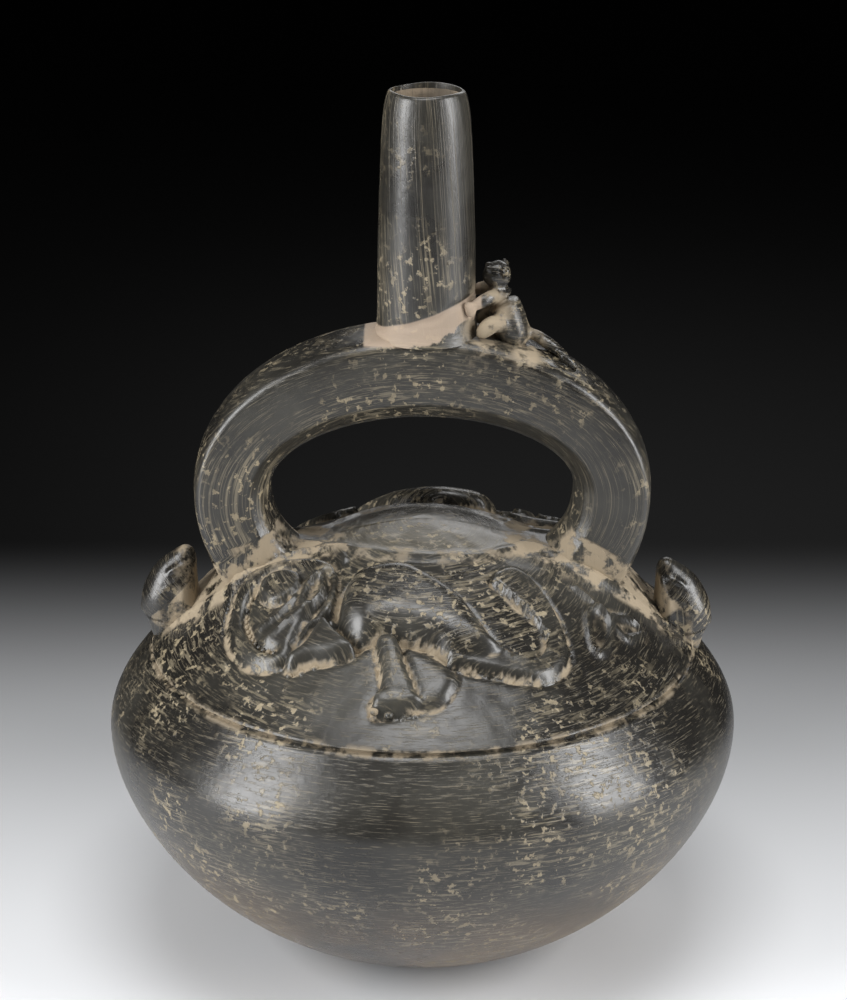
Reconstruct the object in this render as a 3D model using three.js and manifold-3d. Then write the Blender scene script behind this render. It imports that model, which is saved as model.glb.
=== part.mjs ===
// Stirrup spout vessel: one hollow body of burnished blackware, in millimetres, +Z up.
// The base stands on z = 0 with the axis of the bowl on X = Y = 0, and the front faces -Y.
import * as THREE from 'three';
import { mergeVertices } from 'three/addons/utils/BufferGeometryUtils.js';
import Module from 'manifold-3d';

const wasm = await Module();
wasm.setup();

// Bowl and dome
const baseRadius = 20.6;
const bellyRadius = 80;
const bellyHeight = 57.5;
const seamRadius = 69.2;
const seamHeight = 77.2;
const domeEdgeRadius = 68.2;
const domeEdgeHeight = 79.2;
const domeTopHeight = 110;
const wall = 5;
const bowlSides = 56;

// Clay smeared up round the two feet of the stirrup
const moundHeight = 8;
const moundCentre = 44;
const moundLength = 14;
const moundWidth = 20;

// Stirrup handle: an arch of two half ellipses that meet at its widest point
const archHalfSpan = 48.5;
const archCentreHeight = 119.5;
const archRise = 31;
const archDrop = 40;
const archDepth = 22;
const archFootAngle = THREE.MathUtils.degToRad(133);
const archWidth = 14.5;
const archTopSwell = 2.5;
const archFootFlare = 3.5;
const innerBulge = 3.7;
const outerBulge = 1;
const cornerRadius = 1.6;
const archSteps = 30;
const boreHalfWidth = 5;
const boreHalfDepth = 7;
const boreShift = -1.2;

// Spout
const spoutX = 1;
const spoutFoot = 152;
const spoutTop = 218.3;
const spoutRadius = 12.2;
const spoutNeckRadius = 10.8;
const lipRadius = 9.2;
const lipWall = 0.9;
const spoutBoreRadius = 7.8;
const breakHeight = 165;
const breakSlope = 0.36;
const spoutSides = 24;

// Heads on the shoulder
const headHalfDepth = 7;
const headMiddle = new THREE.Vector2(62.5, 89);

const clay = new THREE.MeshStandardMaterial({ color: 0x34342f, roughness: 0.42, metalness: 0.15 });

const point2 = (x, y) => new THREE.Vector2(x, y);
const point3 = (x, y, z) => new THREE.Vector3(x, y, z);

// Moves every vertex of a geometry to where the given function puts it.
function mapVertices(geometry, place) {
  const position = geometry.attributes.position;
  const vertex = new THREE.Vector3();
  for (let index = 0; index < position.count; index += 1) {
    vertex.fromBufferAttribute(position, index);
    const moved = place(vertex);
    position.setXYZ(index, moved.x, moved.y, moved.z);
  }
  return geometry;
}

// Six times the signed volume, negative where the faces point inwards.
function signedVolume(positions, triangles) {
  const corner = (index) => new THREE.Vector3().fromArray(positions, 3 * triangles[index]);
  let sum = 0;
  for (let index = 0; index < triangles.length; index += 3) {
    sum += corner(index).dot(corner(index + 1).cross(corner(index + 2)));
  }
  return sum;
}

// A closed three.js geometry as a solid that can be joined and cut.
function solid(geometry) {
  geometry.deleteAttribute('normal');
  geometry.deleteAttribute('uv');
  const merged = mergeVertices(geometry, 1e-4);
  const vertProperties = Float32Array.from(merged.attributes.position.array);
  const source = Array.from(merged.index.array);
  const triVerts = [];
  for (let index = 0; index < source.length; index += 3) {
    const [a, b, c] = source.slice(index, index + 3);
    if (a !== b && b !== c && c !== a) triVerts.push(a, b, c);
  }
  const inverted = signedVolume(vertProperties, triVerts) < 0;
  const facingOut = inverted ? triVerts.reverse() : triVerts;
  const mesh = new wasm.Mesh({ numProp: 3, vertProperties, triVerts: Uint32Array.from(facingOut) });
  return new wasm.Manifold(mesh);
}

function joinAll(solids) {
  return solids.reduce((joined, next) => joined.add(next));
}

// A solid turned on the Z axis from a profile of radius and height.
function turned(profile, sides) {
  return new THREE.LatheGeometry(profile, sides).rotateX(Math.PI / 2);
}

function bezier(start, startPull, endPull, end, count) {
  return new THREE.CubicBezierCurve(start, startPull, endPull, end).getPoints(count);
}

// Plain dome profile from its edge to the axis, lifted evenly by the given amount.
function domeProfile(lift, count) {
  const edge = point2(domeEdgeRadius, domeEdgeHeight + lift);
  const edgePull = point2(48.6, 91.5 + lift);
  const topPull = point2(24, domeTopHeight + lift);
  return bezier(edge, edgePull, topPull, point2(0, domeTopHeight + lift), count);
}

// Height of the clay smeared up round the stirrup's feet.
function mound(x, y) {
  const along = (Math.abs(x) - moundCentre) / moundLength;
  const across = y / moundWidth;
  return moundHeight * Math.exp(-along * along - across * across);
}

const heightSamples = domeProfile(0, 200);

// Height of the finished dome surface above any point of the plan.
function domeHeight(x, y) {
  const radius = Math.hypot(x, y);
  const next = heightSamples.findIndex((sample) => sample.x <= radius);
  if (next < 1) return (next < 0 ? domeTopHeight : domeEdgeHeight) + mound(x, y);
  const outer = heightSamples[next - 1];
  const inner = heightSamples[next];
  const share = (outer.x - radius) / (outer.x - inner.x);
  return outer.y + share * (inner.y - outer.y) + mound(x, y);
}

function liftByMound(vertex) {
  const onDome = vertex.z > domeEdgeHeight + 0.5;
  return point3(vertex.x, vertex.y, vertex.z + (onDome ? mound(vertex.x, vertex.y) : 0));
}

function bowlAndDome() {
  const profile = [
    point2(0, 0),
    ...bezier(
      point2(baseRadius, 0),
      point2(46, 0),
      point2(bellyRadius, 32.6),
      point2(bellyRadius, bellyHeight),
      9,
    ),
    ...bezier(
      point2(bellyRadius, bellyHeight),
      point2(bellyRadius, 66),
      point2(73.5, 71.5),
      point2(seamRadius, seamHeight),
      5,
    ).slice(1),
    point2(domeEdgeRadius, seamHeight + 0.1),
    point2(domeEdgeRadius + 0.8, domeEdgeHeight - 0.8),
    ...domeProfile(0, 8),
  ];
  return solid(mapVertices(turned(profile, bowlSides), liftByMound));
}

function chamber() {
  const widest = bellyRadius - wall;
  const profile = [
    point2(0, wall + 1),
    ...bezier(
      point2(18, wall + 1),
      point2(43, wall + 1),
      point2(widest, 34),
      point2(widest, bellyHeight),
      6,
    ),
    ...bezier(
      point2(widest, bellyHeight),
      point2(widest, 64),
      point2(69, 68),
      point2(63.5, 75),
      3,
    ).slice(1),
    ...bezier(
      point2(63.5, 75),
      point2(46, 86),
      point2(23, domeTopHeight - wall),
      point2(0, domeTopHeight - wall),
      5,
    ).slice(1),
  ];
  return solid(turned(profile, 32));
}

// Place on the arch: the angle is 0 at the top, negative towards the left foot.
function archPoint(angle) {
  const height = Math.abs(angle) < Math.PI / 2 ? archRise : archDrop;
  return point2(archHalfSpan * Math.sin(angle), archCentreHeight + height * Math.cos(angle));
}

function archOutward(angle) {
  const height = Math.abs(angle) < Math.PI / 2 ? archRise : archDrop;
  return point2(height * Math.sin(angle), archHalfSpan * Math.cos(angle)).normalize();
}

// Width of the arch's face, a little more at the top and flaring into the feet.
function archWidthAt(angle) {
  const turn = Math.abs(angle);
  const swell = turn < Math.PI / 2 ? archTopSwell * Math.cos(turn) ** 2 : 0;
  const towardsFoot = Math.max(0, (turn - 1.8) / (archFootAngle - 1.8));
  return archWidth + swell + archFootFlare * towardsFoot ** 2;
}

// Section of the arch: x runs outwards in half widths, y through the depth in millimetres.
function archSection() {
  const halfDepth = archDepth / 2;
  const corner = cornerRadius / (archWidth / 2);
  const section = new THREE.Shape();
  section.moveTo(1 - corner, -halfDepth);
  section.lineTo(1, -halfDepth + cornerRadius);
  section.quadraticCurveTo(1 + (2 * outerBulge) / (archWidth / 2), 0, 1, halfDepth - cornerRadius);
  section.lineTo(1 - corner, halfDepth);
  section.lineTo(-1 + corner, halfDepth);
  section.lineTo(-1, halfDepth - cornerRadius);
  section.quadraticCurveTo(-1 - (2 * innerBulge) / (archWidth / 2), 0, -1, -halfDepth + cornerRadius);
  section.lineTo(-1 + corner, -halfDepth);
  section.closePath();
  return section;
}

// Bends a straight extrusion of unit length into the arch, from one foot to the other.
function bentIntoArch(section, footAngle, curveSegments, halfWidthAt) {
  const options = { steps: archSteps, depth: 1, bevelEnabled: false, curveSegments };
  const straight = new THREE.ExtrudeGeometry(section, options);
  return solid(mapVertices(straight, (vertex) => {
    const angle = footAngle * (2 * vertex.z - 1);
    const centre = archPoint(angle);
    const outward = archOutward(angle).multiplyScalar(vertex.x * halfWidthAt(angle));
    return point3(centre.x + outward.x, vertex.y, centre.y + outward.y);
  }));
}

function stirrup() {
  return bentIntoArch(archSection(), archFootAngle, 5, (angle) => archWidthAt(angle) / 2);
}

function stirrupBore() {
  const section = new THREE.Shape();
  section.absellipse(boreShift / boreHalfWidth, 0, 1, boreHalfDepth, 0, Math.PI * 2);
  return bentIntoArch(section, archFootAngle + 0.13, 6, () => boreHalfWidth);
}

// The glued break runs round the spout as a slanting step, higher at the right.
function breakStep(vertex) {
  const level = breakHeight + breakSlope * vertex.x;
  const distance = Math.abs(vertex.z - level);
  const squeeze = distance < 1.5 ? 1 - 0.035 * (1 - distance / 1.5) : 1;
  return point3(vertex.x * squeeze + spoutX, vertex.y * squeeze, vertex.z);
}

function spoutOutside() {
  const profile = [
    point2(0, spoutFoot),
    point2(archDepth / 2 - 0.5, spoutFoot),
    point2(archDepth / 2 - 0.5, 156.8),
    ...bezier(
      point2(spoutRadius + 0.9, 158.2),
      point2(spoutRadius + 0.3, 159.4),
      point2(spoutRadius, 160.4),
      point2(spoutRadius, 162),
      2,
    ),
    point2(spoutRadius - 0.15, breakHeight),
    point2(spoutRadius - 0.2, breakHeight + 3),
    ...bezier(point2(11.8, 180), point2(11.5, 190), point2(11.2, 200), point2(spoutNeckRadius, 207), 2),
    ...bezier(
      point2(10.6, 210),
      point2(10.4, 213.5),
      point2(9.9, 216),
      point2(lipRadius, spoutTop - 0.3),
      3,
    ),
    point2(lipRadius - 0.4, spoutTop),
    point2(0, spoutTop),
  ];
  return solid(mapVertices(turned(profile, spoutSides), breakStep));
}

function spoutBore() {
  const mouth = lipRadius - lipWall + 0.3;
  const profile = [
    point2(0, spoutFoot - 4),
    point2(spoutBoreRadius, spoutFoot - 4),
    point2(spoutBoreRadius, 208),
    point2(mouth - 0.3, spoutTop - 1.4),
    point2(mouth, spoutTop + 2),
    point2(0, spoutTop + 2),
  ];
  return solid(turned(profile, 20).translate(spoutX, 0, 0));
}

// A ball drawn out along a curve. Its half width lies level, its half height stands up.
function drawnOut(curve, halfWidthAt, halfHeightAt, around = 6, along = 5) {
  const ball = new THREE.SphereGeometry(1, around, along);
  return solid(mapVertices(ball, (vertex) => {
    const share = Math.min(1, Math.max(0, (1 + vertex.y) / 2));
    const middle = curve.getPoint(share);
    const direction = curve.getTangent(share);
    const side = point3(-direction.y, direction.x, 0).normalize();
    const up = new THREE.Vector3().crossVectors(direction, side);
    side.multiplyScalar(vertex.x * halfWidthAt(share));
    up.multiplyScalar(vertex.z * halfHeightAt(share));
    return middle.add(side).add(up);
  }));
}

// A smooth change from one value to another through a middle one.
function swell(start, middle, end) {
  return (share) => start * (1 - share) ** 2 + 2 * middle * share * (1 - share) + end * share ** 2;
}

// A curve laid on the dome through points of the plan, sunk by the given depth.
function onDome(plan, sink) {
  return new THREE.CatmullRomCurve3(plan.map(([x, y]) => point3(x, y, domeHeight(x, y) - sink)));
}

function laidForm(plan, halfWidthAt, halfHeightAt, sink, around, along) {
  return drawnOut(onDome(plan, sink), halfWidthAt, halfHeightAt, around, along);
}

// Outline of a band that follows a curve of the plan with a changing half width.
function bandOutline(plan, halfWidthAt, count) {
  const curve = new THREE.CatmullRomCurve3(plan.map(([x, y]) => point3(x, y, 0)));
  const left = [];
  const right = [];
  for (let step = 0; step <= count; step += 1) {
    const share = step / count;
    const middle = curve.getPoint(share);
    const direction = curve.getTangent(share);
    const half = halfWidthAt(share);
    left.push(point2(middle.x - direction.y * half, middle.y + direction.x * half));
    right.unshift(point2(middle.x + direction.y * half, middle.y - direction.x * half));
  }
  return new THREE.Shape([...left, ...right]);
}

function ovalOutline(x, y, halfLength, halfWidth, turn) {
  const shape = new THREE.Shape();
  shape.absellipse(x, y, halfLength, halfWidth, 0, Math.PI * 2, false, turn);
  return shape;
}

// The solid under the dome surface after that surface is lifted evenly.
function liftedDome(lift) {
  const profile = [point2(0, 70), point2(domeEdgeRadius, 70), ...domeProfile(lift, 6)];
  return solid(mapVertices(turned(profile, 32), liftByMound));
}

// A plan outline raised as a slab of even thickness on the dome.
function slab(outline, lift, curveSegments = 5) {
  const options = { depth: 60, bevelEnabled: false, curveSegments };
  const column = new THREE.ExtrudeGeometry(outline, options).translate(0, 0, 74);
  return solid(column).intersect(liftedDome(lift));
}

// The arched animal in profile: back, limbs and the tail that turns up behind it.
function animalForms() {
  const back = [[-20, -35], [-13, -30], [-4, -31], [4, -36], [10, -43], [14, -49]];
  const haunch = [[-4, -44], [2, -50], [2, -59]];
  const neck = [[-27, -36], [-21, -33], [-16, -31]];
  const tail = [
    [8, -46], [17, -46.5], [26, -46], [31.5, -42],
    [32.6, -36.5], [31, -31], [28, -25.5], [23, -20],
  ];
  const tailTip = [[25, -19.5], [20.5, -19], [17.5, -20.5]];
  const hindLeg = [[-8.5, -41], [-6.8, -49], [-5.2, -57]];
  const hindFoot = [[-11, -56.5], [-6, -56.6], [-1.5, -57]];
  const foreleg = [[-17.5, -37], [-17, -41.5], [-22, -42.5], [-29.5, -41.5]];
  return [
    laidForm(back, swell(7.5, 11.5, 5.5), swell(5.4, 8.4, 4.4), 1, 10, 11),
    laidForm(haunch, swell(4.5, 7, 4), swell(2.4, 3.2, 1.6), 0.4, 8, 6),
    laidForm(neck, swell(4, 6, 5), swell(2.4, 3.4, 3), 0.4),
    slab(bandOutline(tail, swell(3.2, 2, 2.7), 14), 1.8),
    slab(bandOutline(tailTip, swell(2.6, 3, 3.4), 3), 2),
    slab(bandOutline(hindLeg, swell(2.4, 2, 2.4), 3), 3.4),
    slab(bandOutline(hindFoot, swell(2.3, 3.2, 2.4), 3), 3.6),
    slab(bandOutline(foreleg, swell(3, 2.6, 2.6), 6), 3.2),
  ];
}

// The animal's head, turned to the left, with its crest, eye, cheek band and snout.
function headForms() {
  const face = new THREE.Shape();
  face.moveTo(-22, -34);
  face.quadraticCurveTo(-33, -41, -42.5, -36);
  face.quadraticCurveTo(-49, -26, -47, -14);
  face.quadraticCurveTo(-44, -4, -36, -5);
  face.quadraticCurveTo(-22, -9, -19.5, -20);
  face.closePath();
  const snout = [[-44, -9], [-46, -18], [-44.6, -27], [-40, -35]];
  const cheek = [[-29, -26], [-33.5, -29.5], [-39.5, -29.5]];
  const crest = [[-38, -8], [-30, -7.5], [-22, -10.5]];
  const mouth = [[-43.3, -15], [-42.4, -24], [-39, -32]];
  const forms = [
    slab(face, 1.6),
    laidForm(snout, swell(1.6, 2.4, 1.6), swell(2.4, 3.2, 2.4), 0),
    laidForm(cheek, swell(1.2, 1.6, 1.2), swell(2.4, 3, 2.2), 0),
    laidForm(crest, swell(1.2, 2, 1.2), swell(1.8, 2.6, 1.8), 0),
    laidForm([[-38.6, -21], [-35, -17.6], [-31.2, -14.4]], () => 3.2, () => 2.6, 0, 8),
    laidForm([[-29, -27], [-26.3, -22.8], [-23.8, -18.6]], () => 2.6, () => 2.9, 0, 8),
  ];
  const mouthCut = laidForm(mouth, () => 0.9, () => 1.4, -2.2);
  return [joinAll(forms).subtract(mouthCut)];
}

// The small looped eye and leaf that stand behind the tail.
function sideMotif() {
  const loop = slab(ovalOutline(44.2, -24.6, 6.4, 3.4, 1.45), 1.6, 4);
  const loopHollow = slab(ovalOutline(44.2, -25.6, 3.8, 1.5, 1.45), 4, 3);
  return [
    loop.subtract(loopHollow.subtract(liftedDome(0.5))),
    laidForm([[47.4, -21.6], [50.5, -20], [54, -18.6]], () => 1.8, () => 1.6, 0),
    laidForm([[38, -14.4], [43, -16.2], [47.6, -19.4]], () => 0.9, () => 1.2, 0),
  ];
}

function reliefPanel() {
  return joinAll([...animalForms(), ...headForms(), ...sideMotif()]);
}

// Head that stands on the shoulder and looks outwards. Its side view is drawn for the right.
function shoulderHead(side, reach, drop) {
  const outline = new THREE.Shape();
  outline.moveTo(54, 84);
  outline.lineTo(56.6, 91);
  outline.quadraticCurveTo(56.6, 98, 57.4, 101.2);
  outline.quadraticCurveTo(58.6, 103.6, 61, 102.4);
  outline.quadraticCurveTo(67.5, 99.5, 70, 92.6);
  outline.quadraticCurveTo(71.8, 88, 70, 84.6);
  outline.lineTo(67.4, 77.8);
  outline.lineTo(60, 77);
  outline.closePath();
  const options = { depth: 2 * headHalfDepth, steps: 4, bevelEnabled: false, curveSegments: 3 };
  const block = new THREE.ExtrudeGeometry(outline, options)
    .translate(0, 0, -headHalfDepth)
    .rotateX(Math.PI / 2);
  const place = (x, y, z) => point3(side * (x + reach), y, z - drop);
  const skull = solid(mapVertices(block, (vertex) => {
    const rounding = 1 - 0.42 * Math.abs(vertex.y / headHalfDepth) ** 3;
    const narrowing = 1 - 0.45 * THREE.MathUtils.smoothstep(vertex.z, 90, 104);
    const x = headMiddle.x + (vertex.x - headMiddle.x) * rounding;
    const z = headMiddle.y + (vertex.z - headMiddle.y) * rounding;
    return place(x, vertex.y * narrowing, z);
  }));
  const lump = (from, to, halfWidth, halfHeight) => {
    const line = new THREE.LineCurve3(place(...from), place(...to));
    return drawnOut(line, () => halfWidth, () => halfHeight, 6, 4);
  };
  const forms = [skull];
  for (const face of [-1, 1]) {
    forms.push(lump([61.8, face * 6, 92.6], [66.6, face * 6, 91.6], 1.5, 2.4));
    forms.push(lump([58.6, face * 3.2, 98.4], [64.4, face * 4.2, 96.4], 1.4, 1.3));
  }
  const mouthCut = lump([63, -9, 85.6], [63, 9, 85.6], 3.6, 0.8);
  return joinAll(forms).subtract(mouthCut);
}

// Monkey that climbs the spout from the right shoulder of the arch, its tail laid behind it.
function monkey() {
  const limb = (points, halfWidthAt, halfHeightAt, around, along) => {
    const curve = new THREE.CatmullRomCurve3(points.map(([x, y, z]) => point3(x, y, z)));
    return drawnOut(curve, halfWidthAt, halfHeightAt, around, along);
  };
  const forms = [
    limb([[17, 0, 169.4], [18.2, 0, 173], [18.4, 0, 176.9]], () => 3.1, () => 3.3, 8, 6),
    limb([[14.6, 0, 173], [16, 0, 173], [19, 0, 173.4]], () => 2, () => 2.2),
    limb(
      [[16.4, 0, 171.4], [19.6, 0, 166], [21.8, 0, 158.6], [21.5, 0, 153]],
      swell(2.6, 5.4, 4.4),
      swell(2.6, 4.6, 3.6),
      8,
      7,
    ),
    limb([[21, 0, 163.6], [23.4, 0, 161.8], [25.8, 0, 157.6]], () => 2.6, () => 1.8),
    limb(
      [[25, 0, 159.4], [29, 0, 157], [33.4, 0, 153.6], [36.8, -1.6, 150.6]],
      swell(2, 1.7, 1.2),
      swell(1.6, 1.5, 1.2),
      6,
      8,
    ),
    limb(
      [[33, -1, 154], [34.2, -3.6, 153], [37, -3.4, 150.8], [37.2, -1, 150.2]],
      () => 0.9,
      () => 1.1,
      6,
      7,
    ),
  ];
  for (const face of [-1, 1]) {
    forms.push(limb(
      [[18.4, face * 2.4, 169.6], [15.4, face * 5.4, 168.4], [11.6, face * 7.4, 167]],
      () => 1.6,
      () => 1.7,
    ));
    forms.push(limb(
      [[10.4, face * 8.2, 168.6], [11.4, face * 7.6, 166.4], [11.9, face * 7, 164.4]],
      () => 1.4,
      () => 1.3,
    ));
    forms.push(limb(
      [[21.4, face * 2.6, 160.6], [17, face * 6, 162.4], [13, face * 6.4, 159]],
      () => 2.1,
      () => 2.2,
    ));
  }
  return joinAll(forms);
}

function vesselSolid() {
  const relief = reliefPanel();
  const outside = joinAll([
    bowlAndDome(),
    stirrup(),
    spoutOutside(),
    relief,
    relief.rotate([0, 0, 180]),
    shoulderHead(-1, 0, 0),
    shoulderHead(1, 2, 3.4),
    monkey(),
  ]);
  const inside = joinAll([chamber(), stirrupBore(), spoutBore()]);
  return outside.subtract(inside);
}

function vesselMesh() {
  const { vertProperties, triVerts } = vesselSolid().getMesh();
  const geometry = new THREE.BufferGeometry();
  geometry.setAttribute('position', new THREE.BufferAttribute(vertProperties, 3));
  geometry.setIndex(new THREE.BufferAttribute(triVerts, 1));
  geometry.computeVertexNormals();
  const mesh = new THREE.Mesh(geometry, clay);
  mesh.name = 'vessel';
  return mesh;
}

const vessel = new THREE.Group();
vessel.add(vesselMesh());

export default vessel;
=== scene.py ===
import math

import bpy
import numpy as np
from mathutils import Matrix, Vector


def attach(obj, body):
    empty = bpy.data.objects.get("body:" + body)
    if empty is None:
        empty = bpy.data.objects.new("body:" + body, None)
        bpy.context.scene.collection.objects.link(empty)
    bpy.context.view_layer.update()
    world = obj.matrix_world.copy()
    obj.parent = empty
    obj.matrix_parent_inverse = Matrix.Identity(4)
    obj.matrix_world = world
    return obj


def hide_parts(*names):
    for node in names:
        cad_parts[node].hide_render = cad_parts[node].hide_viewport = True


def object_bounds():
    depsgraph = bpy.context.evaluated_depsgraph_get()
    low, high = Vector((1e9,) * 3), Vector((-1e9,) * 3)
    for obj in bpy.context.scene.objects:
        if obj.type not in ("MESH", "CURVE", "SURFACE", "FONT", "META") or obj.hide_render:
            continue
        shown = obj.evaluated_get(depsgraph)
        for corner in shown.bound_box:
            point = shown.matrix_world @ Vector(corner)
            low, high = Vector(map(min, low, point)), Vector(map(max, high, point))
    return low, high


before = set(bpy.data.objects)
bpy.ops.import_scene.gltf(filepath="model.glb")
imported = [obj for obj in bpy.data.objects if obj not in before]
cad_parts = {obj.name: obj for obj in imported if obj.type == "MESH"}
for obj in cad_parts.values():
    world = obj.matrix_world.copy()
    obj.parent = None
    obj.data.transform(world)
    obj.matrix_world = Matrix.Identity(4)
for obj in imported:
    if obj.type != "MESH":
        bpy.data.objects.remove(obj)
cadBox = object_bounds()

# Shapes are worked out in millimetres and become metres when a mesh is built.
mm = 0.001
cadLow, cadHigh = (np.array(corner) / mm for corner in cadBox)
print("frame loaded, box in mm:", cadLow.round(1), cadHigh.round(1))


def smoothStep(low, high, value):
    t = np.clip((value - low) / (high - low), 0, 1)
    return t * t * (3 - 2 * t)


def bump(value, width):
    return np.exp(-(value / width) ** 2)


def bezier(a, b, c, d, count):
    t = np.linspace(0, 1, count + 1)[:, None]
    a, b, c, d = (np.array(p, float) for p in (a, b, c, d))
    return (1 - t) ** 3 * a + 3 * (1 - t) ** 2 * t * b + 3 * (1 - t) * t ** 2 * c + t ** 3 * d


# Catmull-Rom curve through the points, with any number of columns
def spline(points, perSpan=5, closed=False):
    p = np.array(points, float)
    p = np.vstack([p[-1], p, p[0], p[1]]) if closed else np.vstack([2 * p[0] - p[1], p, 2 * p[-1] - p[-2]])
    t = np.linspace(0, 1, perSpan, endpoint=False)[:, None]
    spans = []
    for a, b, c, d in zip(p[:-3], p[1:-2], p[2:-1], p[3:]):
        steep = (2 * a - 5 * b + 4 * c - d) * t ** 2 + (3 * b - a - 3 * c + d) * t ** 3
        spans.append(0.5 * (2 * b + (c - a) * t + steep))
    curve = np.vstack(spans)
    return curve if closed else np.vstack([curve, p[-2]])


# Distance from places in the plan to a drawn line
def toStroke(points, x, y):
    best = np.full(x.shape, 1e9)
    for (ax, ay), (bx, by) in zip(points[:-1], points[1:]):
        length = max(math.hypot(bx - ax, by - ay), 1e-9)
        t = np.clip(((x - ax) * (bx - ax) + (y - ay) * (by - ay)) / length ** 2, 0, 1)
        best = np.minimum(best, np.hypot(x - ax - t * (bx - ax), y - ay - t * (by - ay)))
    return best


# The same to a closed outline, positive inside it
def toOutline(points, x, y):
    ring = np.vstack([points, points[:1]])
    inside = np.zeros(x.shape, bool)
    for (ax, ay), (bx, by) in zip(ring[:-1], ring[1:]):
        if ay != by:
            inside ^= ((ay > y) != (by > y)) & (x < (bx - ax) * (y - ay) / (by - ay) + ax)
    gap = toStroke(ring, x, y)
    return np.where(inside, gap, -gap)


# Smooth random field of the plan, about one bump a cell, from -1 to 1
def noiseField(seed, cell, size=200):
    count = int(size / cell) + 4
    grid = np.random.default_rng(seed).uniform(-1, 1, (count, count))

    def sample(x, y):
        u, v = (x + size / 2) / cell, (y + size / 2) / cell
        i, j = np.clip(u.astype(int), 0, count - 2), np.clip(v.astype(int), 0, count - 2)
        fu, fv = u - i, v - j
        fu, fv = fu * fu * (3 - 2 * fu), fv * fv * (3 - 2 * fv)
        low = grid[i, j] * (1 - fu) + grid[i + 1, j] * fu
        high = grid[i, j + 1] * (1 - fu) + grid[i + 1, j + 1] * fu
        return low * (1 - fv) + high * fv

    return sample


def meshObject(name, vertices, faces, edges=()):
    mesh = bpy.data.meshes.new(name)
    mesh.from_pydata((np.asarray(vertices, float) * mm).tolist(), list(edges), faces)
    mesh.update()
    made = bpy.data.objects.new(name, mesh)
    bpy.context.scene.collection.objects.link(made)
    return made


# Closed body from rings of points that follow each other, with a point at each end
def ringBody(name, rings, lowPoint, highPoint):
    rows, around = len(rings), len(rings[0])
    vertices = np.vstack([np.vstack(rings), [lowPoint], [highPoint]])
    faces = []
    for row in range(rows - 1):
        for k in range(around):
            a, b = row * around + k, row * around + (k + 1) % around
            faces.append((a, b, b + around, a + around))
    low, high, last = rows * around, rows * around + 1, (rows - 1) * around
    for k in range(around):
        after = (k + 1) % around
        faces.append((low, after, k))
        faces.append((high, last + k, last + after))
    return meshObject(name, vertices, faces)


def lathe(name, profile, around, shape=None, centreX=0):
    angle = np.linspace(0, 2 * math.pi, around, endpoint=False)
    rings = []
    for radius, z in profile[1:-1]:
        ring = np.stack([radius * np.cos(angle), radius * np.sin(angle), np.full(around, float(z))], -1)
        ring = shape(ring) if shape else ring
        rings.append(ring + (centreX, 0, 0))
    return ringBody(name, rings, (centreX, 0, profile[0][1]), (centreX, 0, profile[-1][1]))


def applyModifiers(made):
    graph = bpy.context.evaluated_depsgraph_get()
    graph.update()
    baked = bpy.data.meshes.new_from_object(made.evaluated_get(graph))
    made.modifiers.clear()
    made.data = baked
    return made


# Joins or cuts a solid with another, which is used up
def combine(target, other, operation):
    step = target.modifiers.new(operation.lower(), "BOOLEAN")
    step.operation = operation
    step.solver = "MANIFOLD"
    step.object = other
    applyModifiers(target)
    bpy.data.objects.remove(other)
    print(operation.lower(), "->", len(target.data.polygons), "faces")
    return target


bowl = {
    "baseRadius": 20.6,
    "bellyRadius": float(cadHigh[0]),
    "bellyHeight": 57.5,
    "shoulderEnd": (69.2, 77.2),
    "grooveFloor": (68.0, 77.6),
    "domeEdge": (68.2, 79.2),
    "domeTop": 110,
    "handWobble": 0.5,
    "around": 372,
    "domeStep": 0.6,
}

mound = {"height": 8, "centre": 44, "length": 14, "width": 20}

domeProfile = bezier(bowl["domeEdge"], (48.6, 91.5), (24, bowl["domeTop"]), (0, bowl["domeTop"]), 400)


def plainDome(x, y):
    along = (np.abs(x) - mound["centre"]) / mound["length"]
    lift = mound["height"] * np.exp(-along ** 2 - (y / mound["width"]) ** 2)
    return np.interp(np.hypot(x, y), domeProfile[::-1, 0], domeProfile[::-1, 1]) + lift


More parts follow.
